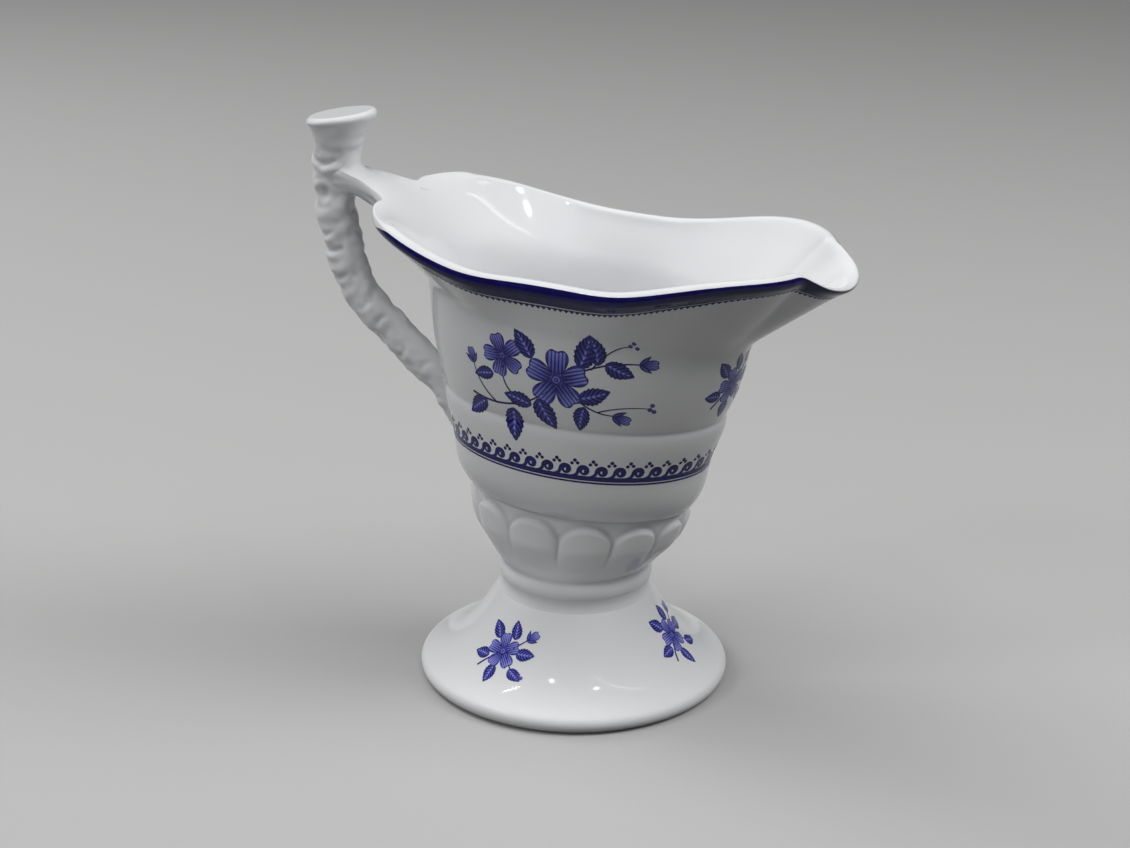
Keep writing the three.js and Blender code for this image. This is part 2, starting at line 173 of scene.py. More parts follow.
def set_surface(finish, inputs):
    shader = finish.node_tree.nodes["Principled BSDF"]
    for name, value in inputs.items():
        feed(finish, shader.inputs[name], value)


deselect()
bpy.ops.mesh.primitive_plane_add(size=floor_size, location=(0, 0, -floor_gap))
floor = bpy.context.object
floor.name = "studio_floor"
pale_floor = new_finish("pale_floor")
ray = add_node(pale_floor, "LightPath", {})
mirrored = add_node(pale_floor, "Math", {0: ray["Is Glossy Ray"], 1: ray["Is Transmission Ray"]})
seen = add_node(pale_floor, "Math", {0: ray["Is Camera Ray"], 1: mirrored["Value"]})
grey = mix_colours(pale_floor, seen["Value"], unseen_grey, seen_grey)
set_surface(pale_floor, {"Base Color": grey, "Roughness": 0.6})
floor.data.materials.append(pale_floor)
print("floor under the foot:", round(floor_gap / MM, 2), "mm")

# %% [markdown]
# The bowl leans a little towards the spout, so its own turns and heights are measured about a leaning axis.
# Two helpers turn places given about that axis, in millimetres, into the frame and back. The collar stands
# level and the lean grows up to the step, so they can also take a share of it.

# %% The bowl's own axis
bowl_lean = math.radians(2.2)
seat_forward, seat_rise = 0.2 * MM, 0.5 * MM
seat = Vector((axis_x + seat_forward, 0, foot_high.z + seat_rise))


def from_bowl(x, y, z, share=1.0):
    c, s = math.cos(share * bowl_lean), math.sin(share * bowl_lean)
    return seat + Vector((x * c + z * s, y, z * c - x * s)) * MM


def in_bowl(place, share=1.0):
    c, s = math.cos(share * bowl_lean), math.sin(share * bowl_lean)
    x, y, z = (place - seat) / MM
    return Vector((x * c - z * s, y, z * c + x * s))


print("the bowl is seated", round(seat.z / MM, 1), "mm up")

# %% [markdown]
# The bowl is one casting, with a collar, a cup of gadroons, a step, a wall with a groove and a flared brim.
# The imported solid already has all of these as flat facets, so they could be modelled again, but it is
# quicker and truer to refine it: a copy is merged, turned back into quads and given a Subdivision Surface.
# That rounds everything, so the rings of edges that a mould keeps crisp are creased first: the top of the
# collar, the step over the gadroons and the groove.

# %% Refine the castings
merge_distance, flat_enough = 1e-6, math.radians(75)
ring_height_slack, ring_radius_slack = 0.1, 0.6
collar_top, step_height, groove_height = 5.2, 21.8, 43.8


def select_parts(piece, mode, wanted):
    """Leaves a piece in edit mode with its wanted edges or faces selected."""
    bpy.ops.object.mode_set(mode="EDIT")
    bpy.ops.mesh.select_mode(type=mode)
    bpy.ops.mesh.select_all(action="DESELECT")
    bpy.ops.object.mode_set(mode="OBJECT")
    for part in piece.data.edges if mode == "EDGE" else piece.data.polygons:
        part.select = wanted(part)
    bpy.ops.object.mode_set(mode="EDIT")


def casting(node, name, levels, crisp_rings=()):
    """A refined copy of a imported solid. A crisp ring has a height, a share of the lean and a crease."""
    deselect()
    piece = bpy.data.objects.new(name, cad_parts[node].data.copy())
    scene.collection.objects.link(piece)
    pick(piece)
    bpy.ops.mesh.customdata_custom_splitnormals_clear()
    bpy.ops.object.mode_set(mode="EDIT")
    bpy.ops.mesh.select_all(action="SELECT")
    bpy.ops.mesh.remove_doubles(threshold=merge_distance)
    bpy.ops.mesh.tris_convert_to_quads(face_threshold=flat_enough, shape_threshold=flat_enough)
    bpy.ops.object.mode_set(mode="OBJECT")
    for height, share, crease in crisp_rings:
        places = [in_bowl(v.co, share) for v in piece.data.vertices]

        def in_ring(edge):
            one, two = (places[k] for k in edge.vertices)
            level = max(abs(one.z - height), abs(two.z - height)) < ring_height_slack
            return level and abs(one.xy.length - two.xy.length) < ring_radius_slack

        select_parts(piece, "EDGE", in_ring)
        bpy.ops.transform.edge_crease(value=crease)
        bpy.ops.object.mode_set(mode="OBJECT")
    smooth = piece.modifiers.new("round", "SUBSURF")
    smooth.levels = smooth.render_levels = levels
    bpy.ops.object.modifier_apply(modifier=smooth.name)
    bpy.ops.object.shade_smooth()
    piece.data.materials.clear()
    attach(piece, "root")
    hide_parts(node)
    return piece


bowl_rings = [(collar_top, 0, 0.85), (step_height, 1, 0.6), (groove_height, 1, 0.6)]
bowl = casting("bowl", "helmet_bowl", 2, bowl_rings)
foot = casting("pedestal_foot", "bell_foot", 2)
print("bowl faces:", len(bowl.data.polygons), "foot faces:", len(foot.data.polygons))

# %% [markdown]
# Round the cup runs a ring of gadroons, swelling lobes with arched tops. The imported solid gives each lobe
# eight columns of facets, too few for a clean arch, so the refined points of the cup are set again: each
# goes to the radius of the plain oval cup and out by the height of its lobe.

# %% Shape the gadroons
collar_radius, cup_length, cup_width = 16.6, 24.3, 17.6
cup_pulls, cup_swell, cup_upright, cup_samples = (0.2, 0.56), 0.55, 0.4, 60
lobe_count, lobe_bulge, lobe_margin, lobe_arch, lobe_brow = 12, 1.35, 1.4, 5.6, 1.7
lobe_foot, lobe_fade, lobe_fullness, lobe_forward = 2.5, 6.5, 0.8, math.radians(5)
collar_hold, step_hold = (0.4, 1.6), (0.3, 1.1)


def smooth_step(value, low, high):
    t = max(0, min(1, (value - low) / (high - low)))
    return t * t * (3 - 2 * t)


def cup_curve(low, low_pull, high_pull, high):
    t = np.linspace(0, 1, cup_samples)
    lower = low * (1 - t) ** 3 + 3 * low_pull * t * (1 - t) ** 2
    return lower + 3 * high_pull * t**2 * (1 - t) + high * t**3


cup_rise = step_height - collar_top
cup_heights = cup_curve(collar_top, *(collar_top + pull * cup_rise for pull in cup_pulls), step_height)
cup_reaches = [
    cup_curve(collar_radius, collar_radius + cup_swell * (half - collar_radius), half - cup_upright, half)
    for half in (cup_length, cup_width)
]


def cup_radius(turn, height):
    """The plain cup, and the lobe on it."""
    end, side = (np.interp(height, cup_heights, reach) for reach in cup_reaches)
    even = shifted = math.atan2(math.sin(turn) / side, math.cos(turn) / end)
    for _ in range(5):
        even = shifted + lobe_forward * math.sin(even)
    plain = 1 / math.hypot(math.cos(turn) / end, math.sin(turn) / side)
    across = 2 * (even * lobe_count / (2 * math.pi) % 1) - 1
    crown = math.sqrt(max(0, 1 - across * across))
    top = step_height - lobe_margin - lobe_arch * (1 - crown)
    brow = smooth_step(top - height, 0, lobe_brow)
    swell = brow * smooth_step(height - collar_top - lobe_foot, 0, lobe_fade)
    return plain, lobe_bulge * crown**lobe_fullness * swell


moved = 0
for corner in bowl.data.vertices:
    height = (corner.co.z - seat.z) / MM
    if not collar_top - 1 < height < step_height + 1:
        continue
    share = smooth_step(height, collar_top, step_height)
    own = in_bowl(corner.co, share)
    plain, lobe = cup_radius(math.atan2(own.y, own.x), own.z)
    if own.xy.length < plain - 1:
        continue
    held = smooth_step(own.z - collar_top, *collar_hold) * smooth_step(step_height - own.z, *step_hold)
    grow = 1 + held * ((plain + lobe) / own.xy.length - 1)
    corner.co = from_bowl(own.x * grow, own.y * grow, own.z, share)
    moved += 1
print("points set on the cup:", moved)

# %% [markdown]
# The arm at the back of the rim is a flat slab with soft edges, which runs down into the bowl. The refined
# solid has shallow grooves there, where long facets meet. A Smooth modifier would leave them, because it
# heeds only how the points are spaced. So a plane is fitted round each point, to the points near it, and
# the point goes to the plane. Inside the bowl that is done to the radius, on a sheet of turns and heights.

# %% Even out the inside
inside_behind, inside_low, inside_high, inside_fade = 10, 45, 82, 4
mouth_radius, inside_reach, turned_enough = 30, (5, 3), (0.1, 0.4)


def plane_lifts(spots, values, reach):
    """How far the plane fitted round each spot lies above the value that is there."""
    lifts = []
    for spot, value in zip(spots, values):
        away = spots - spot
        near = np.exp(-((away / reach) ** 2).sum(axis=1))
        terms = np.vstack([np.ones(len(spots)), away.T])
        lifts.append(np.linalg.solve((terms * near) @ terms.T, (terms * near) @ (values - value))[0])
    return lifts


def own_points():
    bowl.data.update()
    places = np.array([in_bowl(corner.co) for corner in bowl.data.vertices])
    return places, np.array([corner.normal for corner in bowl.data.vertices])


places, normals = own_points()
radii = np.hypot(places[:, 0], places[:, 1])
turned_in = -(places[:, :2] * normals[:, :2]).sum(axis=1) / radii
level = (places[:, 2] > inside_low) & (places[:, 2] < inside_high)
inside = np.flatnonzero(level & (places[:, 0] < -inside_behind) & (turned_in > turned_enough[0]))
turns = np.arctan2(places[inside, 1], -places[inside, 0])
spots = np.stack([mouth_radius * turns, places[inside, 2]], axis=1)
for index, lift in zip(inside, plane_lifts(spots, radii[inside], inside_reach)):
    x, y, z = places[index]
    held = smooth_step(turned_in[index], *turned_enough) * smooth_step(inside_high - z, 0, inside_fade)
    held *= smooth_step(-x, inside_behind, 2 * inside_behind)
    grow = 1 + held * lift / radii[index]
    bowl.data.vertices[index].co = from_bowl(x * grow, y * grow, z)
print("points evened inside:", len(inside))

# %% [markdown]
# On top of the arm the same is done to the height, twice over, because its grooves are deeper. The end of
# the arm is then drawn in from both sides, so that it sinks into the branch as the real one does.

# %% Even out the arm
arm_behind, arm_low, arm_reach, arm_passes = 33, 66, (2.6, 4.5), 2
level_enough, arm_fade = (0.3, 0.7), (36, 42)
arm_narrowing, narrow_behind = 0.3, (47, 58)
for _ in range(arm_passes):
    places, normals = own_points()
    arm = (places[:, 0] < -arm_behind) & (places[:, 2] > arm_low)
    tops = np.flatnonzero(arm & (normals[:, 2] > level_enough[0]))
    for index, lift in zip(tops, plane_lifts(places[tops, :2], places[tops, 2], arm_reach)):
        x, y, z = places[index]
        held = smooth_step(normals[index, 2], *level_enough) * smooth_step(-x, *arm_fade)
        bowl.data.vertices[index].co = from_bowl(x, y, z + held * lift)

for corner in bowl.data.vertices:
    x, y, z = in_bowl(corner.co)
    corner.co = from_bowl(x, y * (1 - arm_narrowing * smooth_step(-x, *narrow_behind)), z)
bowl.data.update()
print("points evened on the arm:", len(tops))

# %% [markdown]
# Later pieces have to land on the bowl, so they need to know where its surface is. A ray cast from outside
# towards the bowl's axis finds the skin at any turn and height.

# %% Find the skin of the bowl
well_outside = 90


def skin_of(piece):
    return BVHTree.FromObject(piece, bpy.context.evaluated_depsgraph_get())


bowl_skin = skin_of(bowl)
foot_skin = skin_of(foot)


def on_bowl(turn, height):
    """The point and the normal of the bowl's outside."""
    start = from_bowl(well_outside * math.cos(turn), well_outside * math.sin(turn), height)
    hit, normal, _, _ = bowl_skin.ray_cast(start, (from_bowl(0, 0, height) - start).normalized())
    return hit, normal


print("wall at the side:", on_bowl(-math.pi / 2, 50)[0])

# %% [markdown]
# The handle is a casting of a gnarled branch with a slanted cut end. A curve with a round bevel would give
# a smooth pipe, but bark needs its own surface, so a cylinder with many rings is laid along the branch's
# line. The line is a curve object through the branch's points, made a mesh to read it off.

# %% The branch's line
branch_line = [
    (60.4, 98.4), (61.6, 92.5), (61.8, 86), (61.6, 79), (59.8, 71.2), (56.9, 62.5), (52.6, 56.2),
    (46.4, 50.5), (40, 45.5), (34.6, 41), (30.8, 36.6), (28, 32), (25.6, 27.6),
]
deselect()
bpy.ops.curve.primitive_bezier_curve_add()
guide = bpy.context.object
spline = guide.data.splines[0]
spline.bezier_points.add(len(branch_line) - 2)
for stop, (back, height) in zip(spline.bezier_points, branch_line):
    stop.co = from_bowl(-back, 0, height)
    stop.handle_left_type = stop.handle_right_type = "AUTO"
spline.resolution_u = 24
bpy.ops.object.convert(target="MESH")
path = [v.co.copy() for v in guide.data.vertices]
bpy.data.objects.remove(guide)
run = [0.0]
for here, there in zip(path, path[1:]):
    run.append(run[-1] + (there - here).length / MM)
branch_length = run[-1]
points_aside = 3


def along_branch(down):
    """The point and the direction of the branch's line, a number of millimetres down it."""
    k = max(0, min(len(run) - 2, int(np.searchsorted(run, down)) - 1))
    share = (down - run[k]) / (run[k + 1] - run[k])
    lower, upper = max(0, k - points_aside), min(len(path) - 1, k + 1 + points_aside)
    return path[k].lerp(path[k + 1], share), (path[upper] - path[lower]).normalized()


print("branch:", round(branch_length, 1), "mm")

# %% [markdown]
# Bark is a sum of soft shapes on the branch's radius: a taper, the flare of the cut end, swellings and
# hollows, a knot hole in a raised ring, creases across the branch, and a little noise that fades out on
# the inner side low down. They are written as one function of how far down and how far round the branch a
# point is, so the slip seams can be fitted to the same surface.

# %% Bark
branch_radius, root_radius = 4.85, 3.3
cut_radius, cut_flare, cut_rounding, cut_slant = 8.4, 6, 1.7, math.radians(24)
back_flare, front_flare, rim_sharpness = 2.4, 6.6, 1.25
crease_depth, dent_spread, fold_rise, fold_off, fold_spread = 1.5, 0.7, 0.6, 1.5, 0.9
hole_down, hole_turn, hole_depth, hole_spread = 17.5, -1.7, 0.55, 1.1
ring_radius, ring_rise, ring_spread = 2.3, 0.3, 0.8
coarse_noise, fine_noise, noise_pitch, least_noise = 0.6, 0.3, 0.24, 0.4
smooth_turn, smooth_spread, smooth_from, smooth_over = -0.4, 0.5, 40, 12
# Swellings and hollows: millimetres down the branch, turn round it, height, spread
knots = [
    (8.5, -1.7, -0.4, 2.6), (12, 0.9, 0.5, 4), (17.5, -1.7, -0.7, 2.6), (22, -1.6, 0.5, 3.5),
    (24, 1.5, 0.6, 4), (32, -1.9, 0.5, 4), (34, 2.4, -0.5, 3), (42, 0.2, -0.5, 3.4),
    (46, -2.1, 0.6, 4), (52, -2.5, -0.5, 2.6), (57, 1.8, 0.5, 4), (64, -1.4, 0.4, 4),
]
# Creases across the branch: millimetres down it, middle turn, half width in turn, depth, how far it sags
creases = [
    (8.6, -1.75, 1.1, 0.5, 2.2), (25.5, -1.9, 0.7, 0.3, 1.2), (29.5, -1.7, 0.8, 0.35, 1.0),
    (35.5, -1.8, 0.75, 0.32, 1.2), (44, -1.5, 0.5, 0.2, 0.8), (21, 1.6, 0.8, 0.3, 1.2),
    (31, 1.7, 0.7, 0.3, -1.0), (40, 2.0, 0.7, 0.28, 1.0), (50, 1.5, 0.6, 0.25, 0.8),
    (15, 2.6, 0.7, 0.3, 1.2), (27, 2.9, 0.7, 0.3, -1.2), (38, -2.9, 0.7, 0.25, 1.0),
    (50, -1.3, 0.6, 0.25, -0.9), (57, -1.8, 0.7, 0.24, 1.1), (64, -1.3, 0.6, 0.2, -0.7),
    (70, -2.2, 0.6, 0.2, 0.8),
]


def round_to(turn, around):
    return math.atan2(math.sin(turn - around), math.cos(turn - around))


def mound(off, spread):
    """A soft hump, 1 high at its middle."""
    return math.exp(-((off / spread) ** 2))


def bark_radius(down, turn):
    taper = branch_radius + (root_radius - branch_radius) * down / branch_length
    forward = (1 + math.cos(turn)) / 2
    run_out = back_flare + (front_flare - back_flare) * forward
    flare = (cut_radius - branch_radius) * math.exp(-((down / run_out) ** rim_sharpness))
    radius = taper + flare - cut_rounding * max(0, 1 - down / cut_rounding) ** 2
    for at, around, rise, spread in knots:
        apart = round_to(turn, around) * taper
        radius += rise * math.exp(-((down - at) ** 2 + apart**2) / spread**2)
    for at, around, half, depth, sag in creases:
        across = round_to(turn, around) / half
        if abs(across) < 1:
            off = down - at - sag * (1 - across * across)
            fade = (1 - across * across) ** 1.5
            dent = mound(off, dent_spread) - fold_rise * mound(off - fold_off, fold_spread)
            radius -= crease_depth * depth * fade * dent
    eye = math.hypot(down - hole_down, round_to(turn, hole_turn) * taper)
    radius += ring_rise * mound(eye - ring_radius, ring_spread) - hole_depth * mound(eye, hole_spread)
    ring = Vector((math.cos(turn), math.sin(turn), noise_pitch * down))
    rough = coarse_noise * noise.noise(ring) + fine_noise * noise.noise(2.1 * ring + Vector((7, 3, 1)))
    smooth_strip = mound(round_to(turn, smooth_turn), smooth_spread)
    smooth_strip *= max(0, min(1, (down - smooth_from) / smooth_over))
    below_cut = min(1, max(least_noise, (down - 3) / 4))
    return radius + rough * below_cut * (1 - smooth_strip)


def on_branch(down, turn, share=1.0):
    """A point of the branch, at a share of its radius."""
    centre, onward = along_branch(down)
    out = share * bark_radius(down, turn)
    forward = out * math.cos(turn)
    lift = forward * math.tan(cut_slant) * mound(down, cut_flare)
    front = Vector((-onward.z, 0, onward.x))
    return centre + (front * forward + Vector((0, 1, 0)) * out * math.sin(turn) - onward * lift) * MM


print("radius half way:", round(bark_radius(branch_length / 2, 0), 2), "mm")

# %% [markdown]
# Now the cylinder itself. Its long edges are subdivided twice into rings, and the face of the cut end is
# inset a few times and poked, so that it has rings of its own. Each point then moves to its place on the
# bark. Where the root goes into the bowl it is held just under the skin, so nothing shows inside.

# %% Branch handle
sides, ring_cuts, cut_insets = 80, (15, 14), (0.04, 0.06, 0.1, 0.2, 0.25)
ring_crowding, root_down, under_skin = 0.6, 55, 1.2
deselect()
bpy.ops.mesh.primitive_cylinder_add(vertices=sides, radius=1, depth=1)
branch = bpy.context.object
branch.name = "branch_handle_bark"


def runs_down(edge):
    low, high = (branch.data.vertices[k].co for k in edge.vertices)
    return abs(low.z - high.z) > 1e-4


for cuts in ring_cuts:
    select_parts(branch, "EDGE", runs_down)
    bpy.ops.mesh.subdivide(number_cuts=cuts)
    bpy.ops.object.mode_set(mode="OBJECT")
select_parts(branch, "FACE", lambda face: face.normal.z > 0.9)
for ring_width in cut_insets:
    bpy.ops.mesh.inset(thickness=ring_width)
bpy.ops.mesh.poke()
bpy.ops.object.mode_set(mode="OBJECT")

for corner in branch.data.vertices:
    x, y, z = corner.co
    share = 0.5 - z
    down = branch_length * share * (1 - ring_crowding + ring_crowding * share)
    place = on_branch(down, math.atan2(y, x), math.hypot(x, y))
    if down > root_down:
        local = in_bowl(place)
        skin, _ = on_bowl(math.atan2(local.y, local.x), local.z)
        reach, limit = local.xy.length, in_bowl(skin).xy.length - under_skin
        if reach < limit:
            place = from_bowl(local.x * limit / reach, local.y * limit / reach, local.z)
    corner.co = place
pick(branch)
bpy.ops.object.shade_smooth()
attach(branch, "root")
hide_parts("branch_handle")
print("branch faces:", len(branch.data.polygons))

# %% [markdown]
# The castings are stuck together with slip, liquid clay, and the potter wipes the joint to a smooth hollow
# fillet. Each fillet starts as a torus. Its long way round follows the line where the two surfaces meet,
# and its short way round runs from a foot on one surface to a foot on the other, and back inside.

# %% Slip fillet
around_count, across_count = 96, 14
front_steps = across_count - 3
buried, drawn_in, foot_lift, off_bark = 0.9, 0.75, 0.02 * MM, 1.004


def inside_bowl(place):
    hit, normal, _, _ = bowl_skin.find_nearest(place)
    return (place - hit).dot(normal) < 0


def meeting_point(point_at, near, step):
    """Where a line on the branch first goes into the bowl, walking on from a place outside it."""
    while not inside_bowl(point_at(near + step)):
        near += step
    far = near + step
    for _ in range(20):
        half = (near + far) / 2
        near, far = (near, half) if inside_bowl(point_at(half)) else (half, far)
    return near


def fillet(name, node, sections):
    """A bead over sections, each a foot on the branch, the meeting point and a foot on the bowl."""
    deselect()
    bpy.ops.mesh.primitive_torus_add(
        major_segments=around_count, minor_segments=across_count, major_radius=2, minor_radius=1
    )
    bead = bpy.context.object
    bead.name = name
    for k, (from_branch, corner, to_bowl) in enumerate(sections):
        hidden = corner + (corner - (from_branch + to_bowl) / 2) * buried
        for step in range(across_count):
            t = step / front_steps
            place = from_branch * (1 - t) ** 2 + corner * (2 * t * (1 - t)) + to_bowl * t**2
            if step > front_steps:
                sink = (step - front_steps) / (across_count - front_steps)
                place = to_bowl.lerp(from_branch, sink).lerp(hidden, drawn_in)
            bead.data.vertices[k * across_count + step].co = place
    bpy.ops.object.mode_set(mode="EDIT")
    bpy.ops.mesh.select_all(action="SELECT")
    bpy.ops.mesh.normals_make_consistent(inside=False)
    bpy.ops.object.mode_set(mode="OBJECT")
    bpy.ops.object.shade_smooth_by_angle(angle=math.radians(50))
    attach(bead, "root")
    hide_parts(node)
    return bead


def section(corner, from_branch, away, wide):
    """The three points of a fillet, with its foot on the bowl away from the meeting point."""
    _, normal, _, _ = bowl_skin.find_nearest(corner)
    flat = (away - normal * away.dot(normal)).normalized()
    foot_hit, foot_normal, _, _ = bowl_skin.find_nearest(corner + flat * wide * MM)
    return from_branch, corner, foot_hit + foot_normal * foot_lift


print("fillet points:", around_count, "x", across_count)

# %% [markdown]
# The branch's root lands on the back wall, and its upper part on the end of the arm. Each joint is found by
# walking along the branch until it goes into the bowl: down it for the root, and inwards from a wide ring
# for the arm. A little noise makes the fillets uneven, as a wiping finger does.

# %% Fillets of the handle
root_search_from, root_step, root_wide = 50, 0.5, 2.1
arm_search_from, arm_step, arm_wide, along_arm = 9, -0.2, 3.4, 5
arm_tenths, uneven = range(80, 260), 0.3
root_sections = []
for k in range(around_count):
    turn = 2 * math.pi * k / around_count
    at = meeting_point(lambda d: on_branch(d, turn), root_search_from, root_step)
    wide = root_wide + uneven * noise.noise(Vector((math.cos(turn), math.sin(turn), 4)))
    centre, _ = along_branch(at)
    place = on_branch(at, turn)
    root_sections.append(section(place, on_branch(at - wide, turn, off_bark), place - centre, wide))
lower_slip = fillet("lower_slip_fillet", "handle_lower_luting_slip", root_sections)

touching = [tenth / 10 for tenth in arm_tenths if inside_bowl(on_branch(tenth / 10, 0))]
arm_middle = (touching[0] + touching[-1]) / 2
arm_sections = []
for k in range(around_count):
    way = 2 * math.pi * k / around_count

    def spot(reach, lift=1.0):
        turn = math.sin(way) * reach / bark_radius(arm_middle, 0)
        return on_branch(arm_middle + math.cos(way) * reach, turn, lift)

    at = meeting_point(spot, arm_search_from, arm_step)
    wide = arm_wide + uneven * noise.noise(Vector((math.cos(way), math.sin(way), 9)))
    place = spot(at)
    centre, _ = along_branch(arm_middle + math.cos(way) * at)
    away = place - centre + Vector((branch_radius * MM, 0, 0))
    arm_sections.append(section(place, spot(at + wide, off_bark), away, along_arm))
upper_slip = fillet("upper_slip_fillet", "handle_upper_luting_slip", arm_sections)
print("arm meets the branch", round(arm_middle, 1), "mm down it")

# %% [markdown]
# The foot and the bowl are joined at the neck, where the slip was wiped to a soft hollow under the collar.
# It is the same kind of fillet, and simpler: every section is the same three points, turned about the axis.

# %% Neck fillet
# Radius and height of its foot on the bell, its corner and its foot on the collar
bell_foot_at, corner_at, collar_foot_at = (17.25, -1.5), (16.3, 0.2), (16.97, 2.0)


def round_neck(centre_x, spot, way):
    radius, rise = spot
    return Vector((centre_x, 0, foot_high.z)) + Vector(
        (radius * math.cos(way), radius * math.sin(way), rise)
    ) * MM


neck_sections = []
for k in range(around_count):
    way = -2 * math.pi * k / around_count
    low = round_neck(axis_x, bell_foot_at, way)
    corner = round_neck(seat.x, corner_at, way)
    neck_sections.append((low, corner, round_neck(seat.x, collar_foot_at, way)))
neck_slip = fillet("neck_slip_fillet", "foot_luting_slip", neck_sections)
print("neck fillet faces:", len(neck_slip.data.polygons))

# %% [markdown]
# Glaze is glass. It runs thin over edges and pools in hollows, where its faint blue shows. The hollows are
# also painted darker, as painted shade. To paint both, a number is kept on every point of a casting: how
# far its neighbours stand above it along its normal.

# %% Where the glaze pools and shade is painted
def pooling_and_shade(piece, rounds, gain):
    """Keeps how hollow a piece is at each point, evened over some rounds, for pooled glaze and painted
    shade.
    """
    mesh = piece.data
    count = len(mesh.vertices)
    place = np.empty(count * 3)
    mesh.vertices.foreach_get("co", place)
    place = place.reshape(-1, 3)
    upright = np.empty(count * 3)
    mesh.vertices.foreach_get("normal", upright)
    upright = upright.reshape(-1, 3)
    pairs = np.empty(len(mesh.edges) * 2, int)
    mesh.edges.foreach_get("vertices", pairs)
    one, two = pairs.reshape(-1, 2).T
    links = np.bincount(pairs, minlength=count)

    def mean(values):
        total = np.bincount(one, values[two], count) + np.bincount(two, values[one], count)
        return total / links

    stretch = np.linalg.norm(place[one] - place[two], axis=1)
    span = (np.bincount(one, stretch, count) + np.bincount(two, stretch, count)) / links
    rise = sum((mean(place[:, k]) - place[:, k]) * upright[:, k] for k in range(3))
    hollow = rise / span**2 * MM
    for _ in range(rounds):
        hollow = 0.5 * hollow + 0.5 * mean(hollow)
    pool_and_shade = mesh.attributes.new("glaze_pool_and_shade", "FLOAT", "POINT")
    pool_and_shade.data.foreach_set("value", np.clip(hollow * gain, -1, 1).astype(np.float32))
    print(piece.name, "pooling_and_shade", np.percentile(hollow * gain, [1, 25, 50, 75, 99]).round(2))


# Hollow numbers for the pooled glaze and for the painted shade in hollows.
pooling_and_shade(bowl, 6, 6)
pooling_and_shade(foot, 6, 6)
pooling_and_shade(branch, 4, 4)
for bead in (lower_slip, upper_slip, neck_slip):
    pooling_and_shade(bead, 2, 2)

# %% [markdown]
# The glaze is a Principled surface, smooth and white with a breath of blue. Noise gives it the faint
# waviness that bends reflections on real ware, rare iron specks and tiny changes of gloss. The standing
# ring is wiped dry of glaze before firing, so below a small height the surface is matt bisque. All of it
# reads Object coordinates, so it runs on from piece to piece.

# %% Porcelain glaze
wiped_height, wiped_edge, bisque_matt = 0.3 * MM, 0.1 * MM, 0.75
bisque, iron, cast = (0.74, 0.71, 0.66, 1), (0.2, 0.17, 0.14, 1), (0.95, 0.96, 0.985, 1)
cloud_scale, speck_scale, fine_scale, rare_speck, gloss_change = 45, 95, 420, 0.9, 0.06


def glaze(name, white, pooled_and_shaded, gloss):
    finish = new_finish(name)
    where = add_node(finish, "TexCoord", {})["Object"]
    cloud = add_node(finish, "TexNoise", {"Vector": where, "Scale": cloud_scale, "Detail": 3})["Fac"]
    fine = add_node(finish, "TexNoise", {"Vector": where, "Scale": fine_scale, "Detail": 2})["Fac"]
    # In hollows the white goes to a darker grey-blue: partly the glaze's own pooled tint, partly painted
    # shade.
    pool_and_shade = add_node(finish, "Attribute", {}, attribute_name="glaze_pool_and_shade")["Fac"]
    depth = add_node(finish, "MapRange", {"Value": pool_and_shade})["Result"]
    clouded = mix_colours(finish, cloud, white, tuple(w * c for w, c in zip(white, cast)))
    tint = mix_colours(finish, depth, clouded, pooled_and_shaded)

    height = add_node(finish, "SeparateXYZ", {"Vector": where})["Z"]
    dry_range = {"Value": height, "From Min": wiped_height + wiped_edge, "From Max": wiped_height}
    dry = add_node(finish, "MapRange", dry_range)["Result"]
    wiped = mix_colours(finish, dry, tint, bisque)

    cells = add_node(finish, "TexVoronoi", {"Vector": where, "Scale": speck_scale})
    dot_range = {"Value": cells["Distance"], "From Min": 0.018, "From Max": 0.008}
    dot = add_node(finish, "MapRange", dot_range)["Result"]
    chance = add_node(finish, "SeparateColor", {"Color": cells["Color"]})["Red"]
    few = add_node(finish, "Math", {0: chance, 1: rare_speck}, operation="GREATER_THAN")["Value"]
    speck = add_node(finish, "Math", {0: dot, 1: few}, operation="MULTIPLY")["Value"]

    gloss_range = {"Value": cloud, "To Min": gloss, "To Max": gloss + gloss_change}
    glossy = add_node(finish, "MapRange", gloss_range)["Result"]
    waves = {"Height": cloud, "Strength": 0.7, "Distance": 0.03 * MM}
    wavy = add_node(finish, "Bump", waves)["Normal"]
    pits = {"Height": fine, "Strength": 0.5, "Distance": 0.002 * MM, "Normal": wavy}
    set_surface(finish, {
        "Base Color": mix_colours(finish, speck, wiped, iron),
        "Roughness": add_node(finish, "Mix", {"Factor": dry, "A": glossy, "B": bisque_matt})["Result"],
        "Normal": add_node(finish, "Bump", pits)["Normal"],
        "IOR": 1.5,
    })
    return finish


# The second colour is for hollows: the pooled glaze's tint, darkened as painted shade.
porcelain_glaze = glaze("porcelain_glaze", (0.82, 0.825, 0.83, 1), (0.62, 0.64, 0.67, 1), 0.05)
slip_glaze = glaze("slip_glaze", (0.81, 0.815, 0.82, 1), (0.62, 0.64, 0.67, 1), 0.07)
for piece in (bowl, foot, branch):
    piece.data.materials.append(porcelain_glaze)
for piece in (lower_slip, upper_slip, neck_slip):
    piece.data.materials.append(slip_glaze)
print("glazes:", porcelain_glaze.name, slip_glaze.name)

# %% [markdown]
# The blue decoration is a print laid under the glaze. It could be painted in the glaze's material, but
# lines a third of a millimetre wide would blur when the finish is baked, so the print is made as a film:
# thin shells that hug the porcelain. Every film carries two numbers on its points, how much ink there is
# and a count of engraved lines, and one material turns them into blue.

# %% Film of print
film_lift, film_thickness = 0.02 * MM, 0.05 * MM


def set_ink(mesh, ink, lines):
    for name, values in (("ink", ink), ("engraved", lines)):
        numbers = mesh.attributes.new(name, "FLOAT", "POINT")
        numbers.data.foreach_set("value", values)


